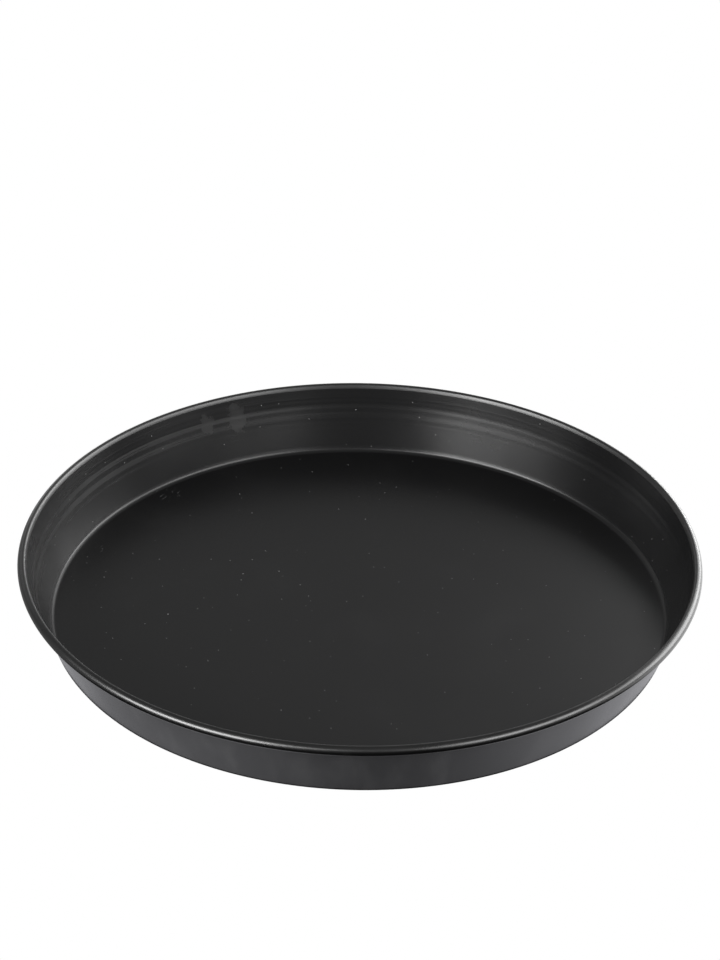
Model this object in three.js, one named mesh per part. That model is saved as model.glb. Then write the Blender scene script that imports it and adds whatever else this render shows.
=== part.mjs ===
// Round baking tray: one disc of sheet steel, drawn into a shallow pan with a flared wall,
// whose edge is rolled outwards over a ring of steel wire.
// Millimetres, +Z up. The origin is the centre of the underside, on the surface the tray stands on.
import * as THREE from "three";

// Driving dimensions of the tray.
const RIM_DIAMETER = 320; // over the rolled edge
const HEIGHT = 33; // from the underside to the top of the rolled edge
const FLOOR_DIAMETER = 286.5; // flat of the floor, up to the bend into the wall
const BEND_RADIUS = 2.5; // inside radius of the bend between floor and wall
const SHEET = 0.6; // thickness of the steel sheet

// Driving dimensions of the wired edge.
const WIRE_DIAMETER = 2.4;
const WIRE_CLEARANCE = 0.3; // between the wire and the inside of the roll
const SEAM_GAP = 0.45; // between the free edge of the roll and the outside of the wall
const WIRE_BUTT_GAP = 1.5; // between the two cut ends of the wire ring

// Facets.
const RING_STEPS = 96; // around the tray
const BEND_STEPS = 4; // along each bend between floor and wall
const ROLL_STEPS = 16; // along the outside of the rolled edge
const BORE_STEPS = 11; // along the inside of the rolled edge
const WIRE_SIDES = 10; // around the wire

// Places in the half section, worked out from the driving dimensions: x is the radius, y is the height.
const ROLL_RADIUS = WIRE_DIAMETER / 2 + WIRE_CLEARANCE + SHEET; // outside radius of the roll's section
const BORE_RADIUS = ROLL_RADIUS - SHEET;
const rollCentre = new THREE.Vector2(RIM_DIAMETER / 2 - ROLL_RADIUS, HEIGHT - ROLL_RADIUS);
const bendCentre = new THREE.Vector2(FLOOR_DIAMETER / 2, SHEET + BEND_RADIUS);
const wallLean = leanOfWall();
const wallFacing = Math.PI - wallLean; // direction in which the inside of the wall faces, in the half section
const rollEnd = wallFacing - 2 * Math.PI + seamAngle();

// The wall is the straight line that touches the bend on its outside and the roll on its inside.
// Its lean is measured from the vertical.
function leanOfWall() {
  const across = rollCentre.clone().sub(bendCentre);
  const reach = (BEND_RADIUS + ROLL_RADIUS) / across.length();
  return Math.acos(reach) - across.angle();
}

// Angle of the roll that is left open, so that its free edge stays SEAM_GAP clear of the wall.
function seamAngle() {
  return Math.acos((BORE_RADIUS - SEAM_GAP) / ROLL_RADIUS);
}

// Points of an arc in the half section, both ends included.
function arc(centre, radius, from, to, steps) {
  const points = [];
  for (let i = 0; i <= steps; i += 1) {
    const angle = from + ((to - from) * i) / steps;
    points.push(new THREE.Vector2(Math.cos(angle), Math.sin(angle)).multiplyScalar(radius).add(centre));
  }
  return points;
}

// Turns a closed half section about the vertical axis.
function revolve(section) {
  return new THREE.LatheGeometry(section, RING_STEPS).rotateX(Math.PI / 2);
}

// Half section of the sheet: along the underside, up the outside of the wall, round the inside of the roll
// to its free edge, back over the outside of the roll, down the inside of the wall and in along the floor.
function panSection() {
  const down = -Math.PI / 2;
  const wallOutside = -wallLean;
  return [
    new THREE.Vector2(0, 0),
    ...arc(bendCentre, BEND_RADIUS + SHEET, down, wallOutside, BEND_STEPS),
    ...arc(rollCentre, BORE_RADIUS, wallFacing, rollEnd, BORE_STEPS),
    ...arc(rollCentre, ROLL_RADIUS, rollEnd, wallFacing, ROLL_STEPS),
    ...arc(bendCentre, BEND_RADIUS, wallOutside, down, BEND_STEPS),
    new THREE.Vector2(0, SHEET),
  ];
}

// Line of the wire: a ring in the middle of the roll, open by WIRE_BUTT_GAP.
class WireLine extends THREE.Curve {
  getPoint(t, target = new THREE.Vector3()) {
    const open = WIRE_BUTT_GAP / rollCentre.x;
    const angle = open / 2 + t * (2 * Math.PI - open);
    return target.set(Math.cos(angle) * rollCentre.x, Math.sin(angle) * rollCentre.x, rollCentre.y);
  }
}

function wireGeometry() {
  const section = new THREE.Shape(arc(new THREE.Vector2(), WIRE_DIAMETER / 2, 0, 2 * Math.PI, WIRE_SIDES));
  return new THREE.ExtrudeGeometry(section, {
    steps: RING_STEPS,
    curveSegments: WIRE_SIDES,
    extrudePath: new WireLine(),
  });
}

const blackCoating = new THREE.MeshStandardMaterial({ color: 0x2e2e30, roughness: 0.38, metalness: 0 });
const bareWire = new THREE.MeshStandardMaterial({ color: 0x9a9b9c, roughness: 0.35, metalness: 1 });

function piece(name, geometry, material) {
  const mesh = new THREE.Mesh(geometry, material);
  mesh.name = name;
  return mesh;
}

const tray = new THREE.Group();
tray.add(piece("pan_shell", revolve(panSection()), blackCoating));
tray.add(piece("rim_wire", wireGeometry(), bareWire));

export default tray;
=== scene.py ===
"""Round baking tray: satin black coated sheet steel with a wired, rolled edge, in soft studio light.

Metres, +Z up. The origin is the centre of the underside.
"""
import math

import bmesh
import bpy
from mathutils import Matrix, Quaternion, Vector


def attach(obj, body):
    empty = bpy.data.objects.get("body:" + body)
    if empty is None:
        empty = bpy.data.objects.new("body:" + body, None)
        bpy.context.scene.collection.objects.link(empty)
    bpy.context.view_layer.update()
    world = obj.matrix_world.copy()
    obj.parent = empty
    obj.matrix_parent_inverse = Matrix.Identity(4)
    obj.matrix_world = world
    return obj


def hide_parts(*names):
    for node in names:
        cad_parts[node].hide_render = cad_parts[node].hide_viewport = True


MM = 0.001

# Sizes of the tray.
RIM_RADIUS = 160 * MM  # over the rolled edge
HEIGHT = 33 * MM
FLOOR_RADIUS = 143.25 * MM  # flat of the floor
BEND_RADIUS = 2.5 * MM  # inside of the bend between floor and wall
SHEET = 0.6 * MM
WIRE_RADIUS = 1.2 * MM
WIRE_CLEARANCE = 0.3 * MM
WIRE_DROP = 0.22 * MM  # below the middle of the roll
WIRE_BUTT_GAP = 1.5 * MM  # between the two cut ends of the wire
SEAM_GAP = 0.45 * MM  # between the free edge of the roll and the outside of the wall

# Drawing ridges on the inside of the wall: place along the wall from the bend, half width, height.
DRAWING_RIDGES = [
    (16.2 * MM, 1.3 * MM, 0.018 * MM),
    (20.7 * MM, 1.2 * MM, 0.022 * MM),
    (13.2 * MM, 0.5 * MM, 0.006 * MM),
    (24.0 * MM, 0.6 * MM, 0.008 * MM),
    (26.3 * MM, 0.6 * MM, 0.014 * MM),
]

# The inside of the wall is a little hollow: its slope against a straight wall, low down and high up,
# and the places along the wall between which the slope changes.
LOW_SLOPE = -0.018
HIGH_SLOPE = 0.032
SLOPE_CHANGE = (21 * MM, 23.6 * MM)

# The bend eases into the inside of the wall with a wider arc.
EASE_ANGLE = math.radians(5)
EASE_RADIUS = 25 * MM

# Arcs of the rolled edge, from the wall to its free end: radius, direction it faces at its end, steps.
# The last arc ends at the seam.
ROLL_ARCS = [
    (7.5 * MM, math.radians(149), 8),
    (1.3 * MM, math.radians(70), 20),
    (3.08 * MM, math.radians(8), 18),
    (1.7 * MM, math.radians(-60), 16),
    (2.3 * MM, None, 12),
]
TOP_ARC = 1  # holds the highest point of the roll
OUTER_ARC = 3  # holds the outermost point of the roll
ROLL_SHIFT = Vector((0.08 * MM, 0.12 * MM))  # outwards and up

# Fineness of the meshes.
RING_STEPS = 288
BEND_STEPS = 14
WALL_STEPS = 110  # inside
OUTER_WALL_STEPS = 12
FLOOR_STEPS = 12
WIRE_STEPS = 288
WIRE_SIDES = 16
SHARP_ANGLE = math.radians(40)
ON_AXIS = 1e-6 * MM  # a smaller radius is a point on the axis

# Places in the half section, as (radius, height).
ROLL_RADIUS = WIRE_RADIUS + WIRE_CLEARANCE + SHEET
ROLL_CENTRE = Vector((RIM_RADIUS - ROLL_RADIUS, HEIGHT - ROLL_RADIUS))
BEND_CENTRE = Vector((FLOOR_RADIUS, SHEET + BEND_RADIUS))
WIRE_CENTRE = ROLL_CENTRE - Vector((0, WIRE_DROP))

# Materials of the pan, by slot.
UNDERSIDE = 0
OUTSIDE = 1
RIM = 2
INSIDE = 3


def lean_of_wall():
    """Angle of the wall from the vertical.

    The wall is the line that touches the bend on its outside and the roll on its inside.
    """
    across = ROLL_CENTRE - BEND_CENTRE
    reach = (BEND_RADIUS + ROLL_RADIUS) / across.length
    return math.acos(reach) - math.atan2(across.y, across.x)


WALL_LEAN = lean_of_wall()
WALL_FACING = math.pi - WALL_LEAN  # direction that the inside of the wall faces, in the half section


def facing(angle):
    """Unit vector of a direction in the half section."""
    return Vector((math.cos(angle), math.sin(angle)))


def arc(centre, radius, start, end, steps):
    """Points of an arc in the half section, both ends included."""
    points = []
    for i in range(steps + 1):
        angle = start + (end - start) * i / steps
        points.append(centre + radius * facing(angle))
    return points


def straight(start, end, steps):
    """Points between two ends, without the ends."""
    return [start.lerp(end, i / steps) for i in range(1, steps)]


def ridge_height(along):
    """How far the drawing ridges stand proud of the inside of the wall, at a distance along it."""
    total = 0.0
    for place, half_width, height in DRAWING_RIDGES:
        total += height * math.exp(-(((along - place) / half_width) ** 2))
    return total


def hollow_slope(along):
    """Slope of the inside of the wall against a straight wall, at a distance along it."""
    start, end = SLOPE_CHANGE
    step = min(max((along - start) / (end - start), 0), 1)
    smooth_step = step * step * (3 - 2 * step)
    return LOW_SLOPE + (HIGH_SLOPE - LOW_SLOPE) * smooth_step


def eased(centre, radius, start, end, steps):
    """An arc that starts with a wider radius, so that it runs on smoothly from a straight line."""
    join = start + math.copysign(EASE_ANGLE, end - start)
    wide_centre = centre + (radius - EASE_RADIUS) * facing(join)
    wide = arc(wide_centre, EASE_RADIUS, start, join, steps)
    return [*wide[:-1], *arc(centre, radius, join, end, steps)]


def inside_wall(foot, top, origin):
    """Points of the inside of the wall between its two ends, hollow and ridged, from the top down.

    Places along the wall are measured from the origin.
    """
    out = facing(WALL_FACING)
    points = [foot, *straight(foot, top, WALL_STEPS), top]
    places = [(point - origin).length for point in points]
    heights = [0.0]
    for a, b in zip(places, places[1:]):
        heights.append(heights[-1] + hollow_slope((a + b) / 2) * (b - a))
    made = []
    for i in range(1, WALL_STEPS):
        level = heights[i] - heights[-1] * i / WALL_STEPS
        made.append(points[i] + out * (level + ridge_height(places[i])))
    return made[::-1]


def roll_centres():
    """Centres of the arcs of the rolled edge, placed by its highest and its outermost point."""
    centres = [Vector((0, 0))]
    for (radius, end, _), (next_radius, _, _) in zip(ROLL_ARCS, ROLL_ARCS[1:]):
        centres.append(centres[-1] + (radius - next_radius) * facing(end))
    right = RIM_RADIUS - ROLL_ARCS[OUTER_ARC][0] - centres[OUTER_ARC].x
    up = HEIGHT - ROLL_ARCS[TOP_ARC][0] - centres[TOP_ARC].y
    return [centre + Vector((right, up)) + ROLL_SHIFT for centre in centres]


def roll_end(centres):
    """Direction that the roll faces at its free end, SEAM_GAP away from the outside of the wall."""
    wall = facing(WALL_FACING)
    across = (centres[0] - centres[-1]).dot(wall) + ROLL_ARCS[0][0] - SHEET
    return WALL_FACING - 2 * math.pi + math.acos((across - SEAM_GAP) / ROLL_ARCS[-1][0])


def rolled_edge(inset):
    """Points of the rolled edge, from the wall over the top to its free end, inset into the sheet."""
    centres = roll_centres()
    points = []
    start = WALL_FACING
    for centre, (radius, end, steps) in zip(centres, ROLL_ARCS):
        end = roll_end(centres) if end is None else end
        points = points[:-1] + arc(centre, radius - inset, start, end, steps)
        start = end
    return points


def pan_section():
    """Half section of the sheet as runs of points, each with the slot of its material."""
    down = -math.pi / 2
    wall_outside = -WALL_LEAN
    outer_bend = arc(BEND_CENTRE, BEND_RADIUS + SHEET, down, wall_outside, BEND_STEPS)
    bore = rolled_edge(SHEET)
    roll = rolled_edge(0)[::-1]
    inner_bend = eased(BEND_CENTRE, BEND_RADIUS, wall_outside, down, BEND_STEPS)
    under_middle = Vector((0, 0))
    floor_middle = Vector((0, SHEET))
    underside = straight(under_middle, outer_bend[0], FLOOR_STEPS)
    wall_out = straight(outer_bend[-1], bore[0], OUTER_WALL_STEPS)
    origin = BEND_CENTRE + BEND_RADIUS * facing(wall_outside)
    wall_in = inside_wall(inner_bend[0], roll[-1], origin)
    floor = straight(inner_bend[-1], floor_middle, FLOOR_STEPS)
    return [
        ([under_middle, *underside], UNDERSIDE),
        ([*outer_bend, *wall_out], OUTSIDE),
        ([*bore, *roll], RIM),
        ([*wall_in, *inner_bend, *floor, floor_middle], INSIDE),
    ]


def linked(name, data):
    """A new object of a mesh, a light or a camera, in the scene."""
    made = bpy.data.objects.new(name, data)
    bpy.context.scene.collection.objects.link(made)
    return made


def mesh_of(name, bm):
    """A new mesh from a bmesh, which is freed."""
    mesh = bpy.data.meshes.new(name)
    bm.to_mesh(mesh)
    bm.free()
    return mesh


def turned_to(point, angle):
    """Place of a point of the half section that is turned about the vertical axis."""
    return (point.x * math.cos(angle), point.x * math.sin(angle), point.y)


def ring_of(bm, point):
    """The vertices that a point of the half section turns into: one on the axis, else a ring."""
    if point.x < ON_AXIS:
        return [bm.verts.new((0, 0, point.y))]
    angles = [2 * math.pi * i / RING_STEPS for i in range(RING_STEPS)]
    return [bm.verts.new(turned_to(point, angle)) for angle in angles]


def turned(name, runs):
    """Object made by turning runs of (radius, height) points about the vertical axis."""
    bm = bmesh.new()
    rings = [(ring_of(bm, point), slot) for points, slot in runs for point in points]
    for (below, _), (above, slot) in zip(rings, rings[1:]):
        for i in range(RING_STEPS):
            j = (i + 1) % RING_STEPS
            corners = [below[i % len(below)], below[j % len(below)]]
            corners += [above[j % len(above)], above[i % len(above)]]
            # Next to the axis two corners are one vertex, and the face is a triangle.
            face = bm.faces.new(list(dict.fromkeys(corners)))
            face.material_index = slot
            face.smooth = True
    mesh = mesh_of(name, bm)
    mesh.set_sharp_from_angle(angle=SHARP_ANGLE)
    return linked(name, mesh)


def wire_ring(name):
    """The wire in the roll: a round bar bent into a ring, with its two cut ends almost meeting."""
    bm = bmesh.new()
    opening = WIRE_BUTT_GAP / WIRE_CENTRE.x
    section = arc(WIRE_CENTRE, WIRE_RADIUS, 0, 2 * math.pi, WIRE_SIDES)[:-1]
    loops = []
    for i in range(WIRE_STEPS + 1):
        angle = opening / 2 + (2 * math.pi - opening) * i / WIRE_STEPS
        loops.append([bm.verts.new(turned_to(point, angle)) for point in section])
    for a, b in zip(loops, loops[1:]):
        for k in range(WIRE_SIDES):
            m = (k + 1) % WIRE_SIDES
            bm.faces.new((a[k], a[m], b[m], b[k])).smooth = True
    bm.faces.new(loops[0])
    bm.faces.new(loops[-1][::-1])
    bmesh.ops.recalc_face_normals(bm, faces=bm.faces)
    return linked(name, mesh_of(name, bm))


# Most of a noise lies between these values.
NOISE_LOW = 0.3
NOISE_HIGH = 0.7

# Specks: share of the radius that has full strength, and share of the cells whose speck is faint.
SPECK_CORE = 0.6
SPECK_FAINT = 0.3


class Graph:
    """A new material with its Principled shader, and short ways to add nodes in front of it.

    Scales of noises and cells are per metre.
    """

    def __init__(self, name):
        self.material = bpy.data.materials.new(name)
        self.material.use_nodes = True
        self.tree = self.material.node_tree
        self.shader = self.tree.nodes["Principled BSDF"]

    def feed(self, socket, value):
        """Links a socket to another one, or sets its value."""
        if isinstance(value, bpy.types.NodeSocket):
            self.tree.links.new(value, socket)
        else:
            socket.default_value = value

    def node(self, kind, inputs, **settings):
        made = self.tree.nodes.new(kind)
        for key, value in settings.items():
            setattr(made, key, value)
        for key, value in inputs.items():
            self.feed(made.inputs[key], value)
        return made

    def set(self, **inputs):
        """Feeds inputs of the shader, whose names are written with underscores."""
        for key, value in inputs.items():
            self.feed(self.shader.inputs[key.replace("_", " ")], value)

    def math(self, operation, a, b=0.0):
        return self.node("ShaderNodeMath", {0: a, 1: b}, operation=operation).outputs[0]

    def times(self, a, b):
        return self.math("MULTIPLY", a, b)

    def plus(self, a, b):
        return self.math("ADD", a, b)

    def minus(self, a, b):
        return self.math("SUBTRACT", a, b)

    def length(self, a, b):
        """Length of a vector with two parts."""
        return self.math("SQRT", self.plus(self.times(a, a), self.times(b, b)))

    def toward(self, x, y, azimuth):
        """How far a place lies from the axis in the direction of an azimuth, given in degrees."""
        a = math.radians(azimuth)
        return self.plus(self.times(x, math.cos(a)), self.times(y, math.sin(a)))

    def ease(self, value, start, end, low=0.0, high=1.0):
        """A smooth step from low at start to high at end."""
        inputs = {0: value, 1: start, 2: end, 3: low, 4: high}
        return self.node("ShaderNodeMapRange", inputs, interpolation_type="SMOOTHSTEP").outputs[0]

    def varied(self, noise, low, high):
        """A value that varies with a noise, between low and high."""
        return self.ease(noise, NOISE_LOW, NOISE_HIGH, low, high)

    def band(self, value, start, end, soft):
        """One between start and end, with soft edges."""
        rise = self.ease(value, start - soft, start + soft)
        return self.times(rise, self.ease(value, end + soft, end - soft))

    def place(self):
        """Position on the piece."""
        return self.node("ShaderNodeTexCoord", {}).outputs["Object"]

    def parts(self, vector):
        """The x, y and z of a vector."""
        return self.node("ShaderNodeSeparateXYZ", {0: vector}).outputs[:3]

    def noise(self, vector, scale, detail=2.0):
        inputs = {"Vector": vector, "Scale": scale, "Detail": detail}
        return self.node("ShaderNodeTexNoise", inputs).outputs[0]

    def drawn_out(self, parts, scales, detail=2.0):
        """A noise with its own scale along each part of its place."""
        inputs = {i: self.times(part, scale) for i, (part, scale) in enumerate(zip(parts, scales))}
        return self.noise(self.node("ShaderNodeCombineXYZ", inputs).outputs[0], 1.0, detail)

    def wander(self, value, vector, scale, reach):
        """The value moved about by a noise."""
        centred = self.minus(self.noise(vector, scale), 0.5)
        return self.plus(value, self.times(centred, reach))

    def specks(self, vector, scale, radius, chance):
        """Small dots, bright or faint, in a share of the cells of a cell pattern."""
        cells = self.node("ShaderNodeTexVoronoi", {"Vector": vector, "Scale": scale}).outputs
        dot = self.ease(cells["Distance"], radius * scale, SPECK_CORE * radius * scale)
        strength = self.ease(cells["Color"], chance, self.minus(chance, SPECK_FAINT))
        return self.times(dot, strength)

    def blend(self, factor, a, b):
        """Mix of two colours, each a tuple or a socket."""
        made = self.node("ShaderNodeMix", {0: factor}, data_type="RGBA")
        self.feed(made.inputs[6], a)
        self.feed(made.inputs[7], b)
        return made.outputs[2]

    def bump(self, height, distance):
        return self.node("ShaderNodeBump", {"Height": height, "Distance": distance}).outputs[0]


# Coating: a satin black paint. Rubbed and dusty places are greyer.
COATING_IOR = 1.5
BLACK = (0.0046, 0.0046, 0.0048, 1)
RUBBED = (0.022, 0.022, 0.022, 1)
DUST = (0.26, 0.26, 0.26, 1)
GRAIN_SCALE = 1100
GRAIN_HEIGHT = 0.0008 * MM
PATCH_SCALE = 25  # of the uneven roughness

# Roughness of the inside. The floor and the rubbed places are rougher.
INSIDE_ROUGHNESS = (0.235, 0.27)
RUBBED_ROUGHER = 0.08
FLOOR_ROUGHER = 0.065
FLOOR_FADE = (3.0 * MM, 0.8 * MM)  # heights between which the wall's finish turns into the floor's

# Strength of the greyer marks on the inside of the wall, from left to right. At the far left it is a
# little less again.
SIDEWAYS_FADE = (-120 * MM, 20 * MM)
SIDEWAYS_STRENGTH = (1.0, 0.08)
FAR_LEFT_FADE = (-146 * MM, -132 * MM)
FAR_LEFT_STRENGTH = 0.6

# Long fine streaks round the wall, which begin above the bend.
STREAK_SCALES = (7, 7, 800)
STREAK_DETAIL = 3.0
STREAK_LIMITS = (0.42, 0.72)
STREAK_STRENGTH = 0.3
STREAK_START = (6 * MM, 14 * MM)

# Rubbed bands round the inside of the wall, over the drawing ridges: lowest and highest height.
# Under each band runs a line without streaks, whose edges are given as depths below the band.
RUBBED_BANDS = [(17.0 * MM, 19.5 * MM), (21.4 * MM, 23.5 * MM)]
BAND_SOFT = 0.3 * MM
BAND_LIMITS = (0.25, 0.75)  # of the streaks, which the strength of a band follows
BAND_STRENGTH = (0.15, 0.85)
PLAIN_LINE = (1.9 * MM, 0.5 * MM)

# Wiped smudges on the inside of the wall: azimuth in degrees, lowest and highest height, half width.
SMUDGES = [
    (120.6, 17.8 * MM, 27.2 * MM, 3.3 * MM),
    (114.6, 16.0 * MM, 29.0 * MM, 4.4 * MM),
]
SMUDGE_STRENGTH = 0.55
SMUDGE_FADE = (1.3, 0.75)  # in halves of its width or height
SMUDGE_RAGGED_SCALE = 330
SMUDGE_RAGGED_REACH = 1.6  # in the same halves
SMUDGE_SIDE = (100 * MM, 110 * MM)  # from the axis, which keeps it off the opposite wall

# Faint clouds.
CLOUD_SCALE = 22
CLOUD_DETAIL = 4.0
CLOUD_LIMITS = (0.52, 0.8)
CLOUD_STRENGTH = 0.12

# Specks of dust. Their chance rises from front to back, and is higher on the left.
DUST_SCALE = 230
DUST_RADIUS = 0.30 * MM
DUST_DEPTH = (-100 * MM, 80 * MM)
DUST_CHANCE = (0.42, 0.54)
DUST_WIDTH = (-120 * MM, 120 * MM)
DUSTIER_LEFT = 0.12

# Clusters of fine scratches on the floor: x, y and reach.
SCRATCHES = [(-96 * MM, 100 * MM, 8 * MM), (-124 * MM, 46 * MM, 7 * MM)]
SCRATCH_SLANT = -0.5
SCRATCH_SCALES = (900, 190)  # across the scratches and along y
SCRATCH_LIMITS = (0.62, 0.7)
SCRATCH_CORE = 0.3  # share of the reach that has full strength
SCRATCH_STRENGTH = 0.5


def grain(graph, vector):
    """Fine grain of the paint."""
    graph.set(Normal=graph.bump(graph.noise(vector, GRAIN_SCALE), GRAIN_HEIGHT))


def smudge(graph, vector, azimuth, low, high, half_width):
    """A patch on the wall with ragged edges."""
    x, y, z = graph.parts(vector)
    aside = graph.times(graph.toward(x, y, azimuth + 90), 1 / half_width)
    above = graph.times(graph.plus(z, -(low + high) / 2), 2 / (high - low))
    away = graph.length(aside, above)
    ragged = graph.wander(away, vector, SMUDGE_RAGGED_SCALE, SMUDGE_RAGGED_REACH)
    side = graph.ease(graph.toward(x, y, azimuth), *SMUDGE_SIDE)
    return graph.times(graph.ease(ragged, *SMUDGE_FADE), side)


def scratches(graph, x, y, place_x, place_y, reach):
    """Short fine lines in one small place."""
    slant = graph.plus(x, graph.times(y, SCRATCH_SLANT))
    lines = graph.drawn_out((slant, y), SCRATCH_SCALES)
    away = graph.length(graph.plus(x, -place_x), graph.plus(y, -place_y))
    cluster = graph.ease(away, reach, SCRATCH_CORE * reach)
    return graph.times(graph.ease(lines, *SCRATCH_LIMITS), cluster)


def rubbed_inside(graph, vector):
    """How far the inside is rubbed: streaks, bands, smudges and clouds."""
    x, y, z = graph.parts(vector)
    streaks = graph.drawn_out((x, y, z), STREAK_SCALES, STREAK_DETAIL)
    # The greyer marks are stronger on the left and fade towards the right.
    sideways = graph.ease(x, *SIDEWAYS_FADE, *SIDEWAYS_STRENGTH)
    sideways = graph.times(sideways, graph.ease(x, *FAR_LEFT_FADE, FAR_LEFT_STRENGTH, 1.0))
    rubbed = graph.ease(streaks, *STREAK_LIMITS, 0.0, STREAK_STRENGTH)
    rubbed = graph.times(rubbed, graph.ease(z, *STREAK_START))
    rubbed = graph.times(rubbed, sideways)
    strength = graph.times(graph.ease(streaks, *BAND_LIMITS, *BAND_STRENGTH), sideways)
    for low, high in RUBBED_BANDS:
        plain = graph.band(z, low - PLAIN_LINE[0], low - PLAIN_LINE[1], BAND_SOFT)
        rubbed = graph.times(rubbed, graph.minus(1.0, plain))
        rubbed = graph.plus(rubbed, graph.times(graph.band(z, low, high, BAND_SOFT), strength))
    for place in SMUDGES:
        patch = graph.times(smudge(graph, vector, *place), SMUDGE_STRENGTH)
        rubbed = graph.math("MAXIMUM", rubbed, patch)
    clouds = graph.noise(vector, CLOUD_SCALE, CLOUD_DETAIL)
    return graph.plus(rubbed, graph.ease(clouds, *CLOUD_LIMITS, 0.0, CLOUD_STRENGTH))


def dusty_inside(graph, vector):
    """Where dust or a scratch shows on the inside."""
    x, y = graph.parts(vector)[:2]
    chance = graph.ease(y, *DUST_DEPTH, *DUST_CHANCE)
    chance = graph.plus(chance, graph.ease(x, *DUST_WIDTH, DUSTIER_LEFT, 0.0))
    dusty = graph.specks(vector, DUST_SCALE, DUST_RADIUS, chance)
    for place in SCRATCHES:
        lines = graph.times(scratches(graph, x, y, *place), SCRATCH_STRENGTH)
        dusty = graph.math("MAXIMUM", dusty, lines)
    return dusty


def coating_inside(name):
    """The floor and the inside of the wall, with their marks of use."""
    graph = Graph(name)
    vector = graph.place()
    z = graph.parts(vector)[2]
    rubbed = rubbed_inside(graph, vector)
    coat = graph.blend(rubbed, BLACK, RUBBED)
    graph.set(Base_Color=graph.blend(dusty_inside(graph, vector), coat, DUST), IOR=COATING_IOR)
    roughness = graph.varied(graph.noise(vector, PATCH_SCALE), *INSIDE_ROUGHNESS)
    roughness = graph.plus(roughness, graph.ease(z, *FLOOR_FADE, 0.0, FLOOR_ROUGHER))
    graph.set(Roughness=graph.plus(roughness, graph.times(rubbed, RUBBED_ROUGHER)))
    grain(graph, vector)
    return graph.material


# Coating of the rolled edge.
RIM_IOR = 1.75
RIM_BLACK = (0.0025, 0.0025, 0.0025, 1)
RIM_WEAR_SCALE = 140
RIM_WEAR_DETAIL = 3.0
RIM_WEAR_LIMITS = (0.55, 0.8)
RIM_WEAR = 0.15
RIM_ROUGHNESS = (0.37, 0.29)  # towards the inside of the tray, and outside
RIM_FADE = (ROLL_CENTRE.x - 0.8 * MM, ROLL_CENTRE.x + 0.4 * MM)  # radii between which it changes
RIM_UNEVEN = 0.02
RIM_UNEVEN_SCALE = 60

# At the front, the lower side of the roll reflects less: painted shade under the roll.
SPECULAR_LEVEL = 0.5
PAINTED_SHADE_LEVEL = 0.15
PAINTED_SHADE_FADE = (ROLL_CENTRE.y + 1.1 * MM, ROLL_CENTRE.y + 0.3 * MM)  # heights
PAINTED_SHADE_WIDTH = (-15 * MM, 45 * MM)
PAINTED_SHADE_SOFT = 20 * MM
PAINTED_SHADE_DEPTH = (-100 * MM, -120 * MM)


def coating_rim(name):
    """The rolled edge: bare of dust, with a denser and rougher coat; painted shade below it at the
    front.
    """
    graph = Graph(name)
    vector = graph.place()
    x, y, z = graph.parts(vector)
    worn = graph.noise(vector, RIM_WEAR_SCALE, RIM_WEAR_DETAIL)
    worn = graph.ease(worn, *RIM_WEAR_LIMITS, 0.0, RIM_WEAR)
    graph.set(Base_Color=graph.blend(worn, RIM_BLACK, RUBBED), IOR=RIM_IOR)
    roughness = graph.ease(graph.length(x, y), *RIM_FADE, *RIM_ROUGHNESS)
    uneven = graph.varied(graph.noise(vector, RIM_UNEVEN_SCALE), -RIM_UNEVEN, RIM_UNEVEN)
    graph.set(Roughness=graph.plus(roughness, uneven))
    # Painted shade: the lower side of the roll at the front reflects less, so it looks shaded.
    painted_shade = graph.ease(z, *PAINTED_SHADE_FADE)
    painted_shade = graph.times(painted_shade, graph.band(x, *PAINTED_SHADE_WIDTH, PAINTED_SHADE_SOFT))
    painted_shade = graph.times(painted_shade, graph.ease(y, *PAINTED_SHADE_DEPTH))
    level = graph.plus(SPECULAR_LEVEL, graph.times(painted_shade, PAINTED_SHADE_LEVEL - SPECULAR_LEVEL))
    graph.set(Specular_IOR_Level=level)
    return graph.material


# Coating of the outside of the wall, with faint blotches drawn out upwards.
OUTSIDE_ROUGHNESS = (0.23, 0.27)
BLOTCH_SCALES = (70, 70, 16)
BLOTCH_DETAIL = 3.0
BLOTCH_LIMITS = (0.44, 0.72)
BLOTCH_STRENGTH = 0.9


def coating_outside(name):
    """The outside of the wall, with its blotches."""
    graph = Graph(name)
    vector = graph.place()
    blotches = graph.drawn_out(graph.parts(vector), BLOTCH_SCALES, BLOTCH_DETAIL)
    blotches = graph.ease(blotches, *BLOTCH_LIMITS, 0.0, BLOTCH_STRENGTH)
    graph.set(Base_Color=graph.blend(blotches, BLACK, RUBBED), IOR=COATING_IOR)
    graph.set(Roughness=graph.varied(graph.noise(vector, PATCH_SCALE), *OUTSIDE_ROUGHNESS))
    grain(graph, vector)
    return graph.material


# Coating of the underside: fine rings from the tool, and scuffs where the tray slides on its floor.
TOOL_RING_SCALE = 900  # along the radius
TOOL_RING_DETAIL = 3.0
TOOL_RING_LIMITS = (0.5, 0.75)
TOOL_RING_STRENGTH = 0.15
SCUFF_SCALES = (40, 420)
SCUFF_DETAIL = 4.0
SCUFF_LIMITS = (0.58, 0.72)
SCUFF_FADE = (80 * MM, FLOOR_RADIUS)  # radii between which the scuffs grow stronger
SCUFF_STRENGTH = (0.15, 0.8)
UNDERSIDE_ROUGHNESS = (0.25, 0.32)
SCUFF_ROUGHER = 0.1


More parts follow.
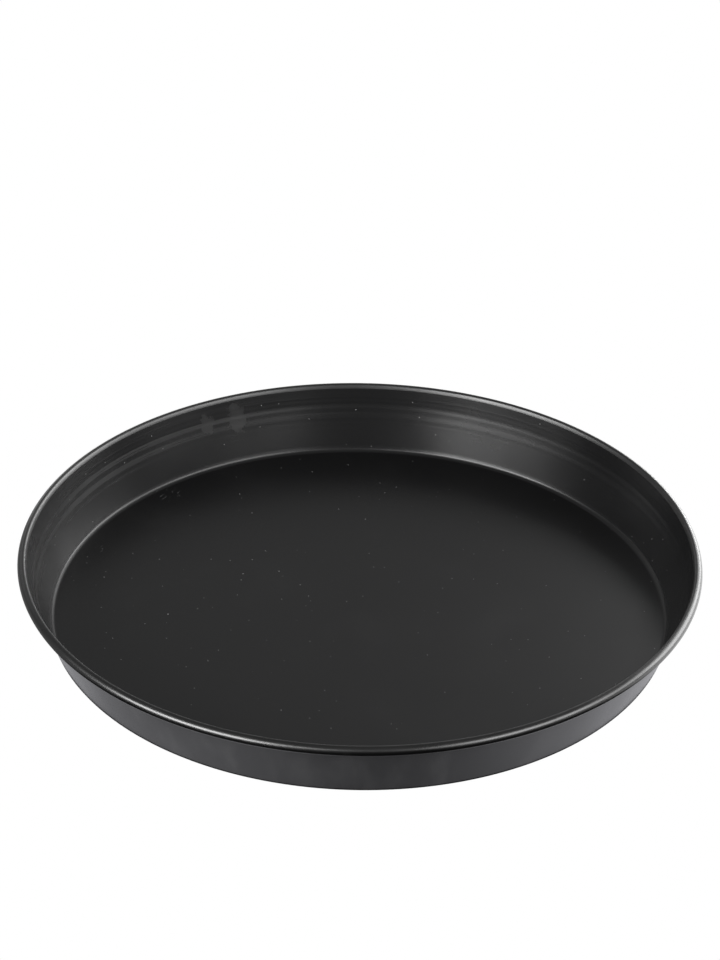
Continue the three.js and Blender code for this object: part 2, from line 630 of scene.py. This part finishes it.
def coating_underside(name):
    """The underside, with its rings and scuffs."""
    graph = Graph(name)
    vector = graph.place()
    x, y = graph.parts(vector)[:2]
    radius = graph.length(x, y)
    rings = graph.drawn_out((radius,), (TOOL_RING_SCALE,), TOOL_RING_DETAIL)
    scuffs = graph.ease(graph.drawn_out((x, y), SCUFF_SCALES, SCUFF_DETAIL), *SCUFF_LIMITS)
    worn = graph.times(scuffs, graph.ease(radius, *SCUFF_FADE, *SCUFF_STRENGTH))
    worn = graph.plus(worn, graph.ease(rings, *TOOL_RING_LIMITS, 0.0, TOOL_RING_STRENGTH))
    graph.set(Base_Color=graph.blend(worn, BLACK, RUBBED), IOR=COATING_IOR)
    roughness = graph.varied(rings, *UNDERSIDE_ROUGHNESS)
    graph.set(Roughness=graph.plus(roughness, graph.times(worn, SCUFF_ROUGHER)))
    grain(graph, vector)
    return graph.material


# Bare steel of the wire.
WIRE_COLOUR = (0.42, 0.42, 0.43, 1)
WIRE_SCALE = 900
WIRE_ROUGHNESS = (0.3, 0.45)


def drawn_wire(name):
    """Bare steel wire with a fine, uneven finish."""
    graph = Graph(name)
    graph.set(Base_Color=WIRE_COLOUR, Metallic=1.0)
    graph.set(Roughness=graph.varied(graph.noise(graph.place(), WIRE_SCALE), *WIRE_ROUGHNESS))
    return graph.material


# Stage: a white floor that only the camera sees. Below it lie a glowing ring round the foot of the tray,
# two glowing cards and a dark sheet, which only the tray reflects.
WHITE = (1, 1, 1, 1)
DISC_SIDES = 128
FLOOR_DROP = 0.1 * MM  # keeps the underside clear of the floor
FLOOR_REACH = 6.0
GLOW_DROP = 0.3 * MM
GLOW_START = 146.5 * MM  # inner radius of the ring
GLOW_REACH = 166 * MM  # outer radius of the ring, and inner radius of the cards
GLOW_COLOUR = (0.98, 0.98, 1.03, 1)
DARK_DROP = 0.5 * MM
DARK_REACH = 400 * MM
CARD_REACH = 900 * MM
CARDS = [(155, 0.33), (25, 1.84)]  # azimuth in degrees and radiance
CARD_EDGES = (60, 34)  # degrees from the azimuth of a card to its dark edge and to its full strength

# Radiance of the ring, as a sum of steps along x: start, end, and the values there.
GLOW_STEPS = [
    (-120 * MM, -70 * MM, -0.07, 0.0),
    (-55 * MM, 5 * MM, 0.68, 0.42),
    (15 * MM, 125 * MM, 0.0, 0.45),
]


def disc(radius):
    """A flat disc."""
    bm = bmesh.new()
    bmesh.ops.create_circle(bm, cap_ends=True, radius=radius, segments=DISC_SIDES)
    return bm


def ring(inner, outer):
    """A flat ring."""
    bm = bmesh.new()
    pairs = []
    for i in range(RING_STEPS):
        angle = 2 * math.pi * i / RING_STEPS
        pairs.append([bm.verts.new(turned_to(Vector((r, 0)), angle)) for r in (inner, outer)])
    for (a, b), (c, d) in zip(pairs, pairs[1:] + pairs[:1]):
        bm.faces.new((a, b, d, c))
    return bm


def glow(name):
    """A material that only shines."""
    graph = Graph(name)
    graph.set(Base_Color=(0, 0, 0, 1), Specular_IOR_Level=0.0, Roughness=1.0)
    graph.set(Emission_Color=WHITE, Emission_Strength=1.0)
    return graph


def stage_piece(name, bm, graph, drop):
    """A flat stage piece below the tray."""
    made = linked(name, mesh_of(name, bm))
    made.location.z = -drop
    made.data.materials.append(graph.material)
    made.visible_shadow = False
    return made


def white_floor():
    """The floor that the camera sees."""
    made = stage_piece("white_floor", disc(FLOOR_REACH), glow("white_floor"), FLOOR_DROP)
    made.visible_diffuse = False
    made.visible_glossy = False
    made.visible_transmission = False


def glowing_ring():
    """A ring round the foot of the tray, brighter to both sides."""
    graph = glow("sheet_ring")
    x = graph.parts(graph.place())[0]
    strength = 0.0
    for step in GLOW_STEPS:
        strength = graph.plus(strength, graph.ease(x, *step))
    graph.set(Emission_Color=GLOW_COLOUR, Emission_Strength=strength)
    made = stage_piece("sheet_ring", ring(GLOW_START, GLOW_REACH), graph, GLOW_DROP)
    made.visible_camera = False


def dark_sheet():
    """A dark sheet below the ring."""
    graph = glow("dark_sheet")
    graph.set(Emission_Strength=0.0)
    made = stage_piece("dark_sheet", disc(DARK_REACH), graph, DARK_DROP)
    made.visible_camera = False


def cards():
    """A card on each side, outside the ring."""
    graph = glow("cards")
    x, y = graph.parts(graph.place())[:2]
    radius = graph.length(x, y)
    edges = [math.cos(math.radians(edge)) for edge in CARD_EDGES]
    strength = 0.0
    for azimuth, radiance in CARDS:
        cosine = graph.math("DIVIDE", graph.toward(x, y, azimuth), radius)
        strength = graph.plus(strength, graph.ease(cosine, *edges, 0.0, radiance))
    graph.set(Emission_Strength=strength)
    made = stage_piece("cards", ring(GLOW_REACH, CARD_REACH), graph, GLOW_DROP)
    made.visible_camera = False


# Softboxes: name, azimuth from +X towards +Y, elevation, width, height and roll in degrees, radiance.
SOFTBOX_DISTANCE = 1.5
SOFTBOXES = [
    ("left_box", 218, 25.2, 45, 19, 0, 11.4),
    ("left_box_core", 212, 24, 22, 12, 0, 1.6),
    ("left_box_upper", 243, 36, 30, 12, 0, 3.3),
    ("left_box_far", 184, 25, 20, 24, 0, 0.6),
    ("right_front_box", 326, 31, 40, 26, -4, 3.9),
    ("right_front_box_core", 318, 28, 20, 14, 0, 2.2),
    ("right_front_box_near", 298, 26, 14, 26, 0, 1.6),
    ("right_box", 358, 24, 30, 26, -15, 2.6),
    ("right_low_box", 338, 2, 22, 10, 0, 0.5),
    ("right_back_box", 28, 14, 36, 24, 0, 5.6),
    ("right_back_box_upper", 30, 30, 30, 14, 0, 3.4),
    ("back_right_box", 54, 17, 24, 14, 0, 2.2),
    ("back_right_box_lower", 58, 0, 22, 16, 0, 8.0),
    ("back_right_box_upper", 64, 30, 22, 14, 0, 2.1),
    ("back_box", 88, 36, 60, 40, 0, 0.105),
    ("back_low_box", 90, 4, 60, 10, 0, 1.2),
    ("back_left_box", 128, 20, 30, 22, 0, 0.25),
]
AMBIENT = 0.20


def softbox(name, azimuth, elevation, width, height, roll, radiance):
    """A rectangular area light that faces the tray."""
    data = bpy.data.lights.new(name, "AREA")
    data.shape = "RECTANGLE"
    data.size = 2 * SOFTBOX_DISTANCE * math.tan(math.radians(width / 2))
    data.size_y = 2 * SOFTBOX_DISTANCE * math.tan(math.radians(height / 2))
    data.energy = radiance * math.pi * data.size * data.size_y
    made = linked(name, data)
    made.visible_camera = False
    a = math.radians(azimuth)
    e = math.radians(elevation)
    away = Vector((math.cos(a) * math.cos(e), math.sin(a) * math.cos(e), math.sin(e)))
    made.location = away * SOFTBOX_DISTANCE
    level = (-away).to_track_quat("-Z", "Y")
    made.rotation_mode = "QUATERNION"
    made.rotation_quaternion = level @ Quaternion((0, 0, 1), math.radians(roll))


def studio():
    """The floor, what lies below it, the lights and the ambient light."""
    white_floor()
    glowing_ring()
    dark_sheet()
    cards()
    for box in SOFTBOXES:
        softbox(*box)
    world = bpy.data.worlds.new("studio")
    bpy.context.scene.world = world
    world.use_nodes = True
    background = world.node_tree.nodes["Background"]
    background.inputs["Color"].default_value = WHITE
    background.inputs["Strength"].default_value = AMBIENT
    bpy.context.scene.view_settings.view_transform = "Standard"


# Camera, from the outline of the tray in a frame of 720 by 960 pixels.
CAMERA_REFERENCE = Vector((0, 0, 30 * MM))
CAMERA_DISTANCE = 1.5946
CAMERA_ELEVATION = math.radians(32.454)
CAMERA_PITCH = math.radians(31.188)
CAMERA_YAW = math.radians(0.0247)
CAMERA_ROLL = math.radians(0.972)
FOCAL_PIXELS = 3400
FRAME_LONG_SIDE = 960
SENSOR_MM = 36.0
CLIP_START = 0.05
CLIP_END = 50


def camera():
    """The camera of the photograph."""
    data = bpy.data.cameras.new("camera")
    data.sensor_width = SENSOR_MM
    data.lens = FOCAL_PIXELS / FRAME_LONG_SIDE * SENSOR_MM
    data.clip_start = CLIP_START
    data.clip_end = CLIP_END
    made = linked("camera", data)
    back = Vector((0, -math.cos(CAMERA_ELEVATION), math.sin(CAMERA_ELEVATION)))
    made.location = CAMERA_REFERENCE + CAMERA_DISTANCE * back
    look = Vector((0, math.cos(CAMERA_PITCH), -math.sin(CAMERA_PITCH)))
    level = look.to_track_quat("-Z", "Y")
    rolled = level @ Quaternion((0, 0, 1), CAMERA_ROLL)
    made.rotation_mode = "QUATERNION"
    made.rotation_quaternion = rolled @ Quaternion((0, 1, 0), CAMERA_YAW)
    bpy.context.scene.camera = made


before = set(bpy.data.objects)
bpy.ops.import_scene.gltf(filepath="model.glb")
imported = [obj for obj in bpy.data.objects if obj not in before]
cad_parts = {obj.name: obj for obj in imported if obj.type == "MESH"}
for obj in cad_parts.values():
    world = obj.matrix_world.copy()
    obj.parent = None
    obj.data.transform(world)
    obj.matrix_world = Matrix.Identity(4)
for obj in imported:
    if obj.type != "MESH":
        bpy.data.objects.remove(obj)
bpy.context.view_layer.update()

camera()
studio()

pan = turned("coated_pan", pan_section())
pan.data.materials.append(coating_underside("coating_underside"))
pan.data.materials.append(coating_outside("coating_outside"))
pan.data.materials.append(coating_rim("coating_rim"))
pan.data.materials.append(coating_inside("coating_inside"))
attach(pan, "root")
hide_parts("pan_shell")

wire = wire_ring("drawn_wire_ring")
wire.data.materials.append(drawn_wire("drawn_wire"))
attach(wire, "root")
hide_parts("rim_wire")
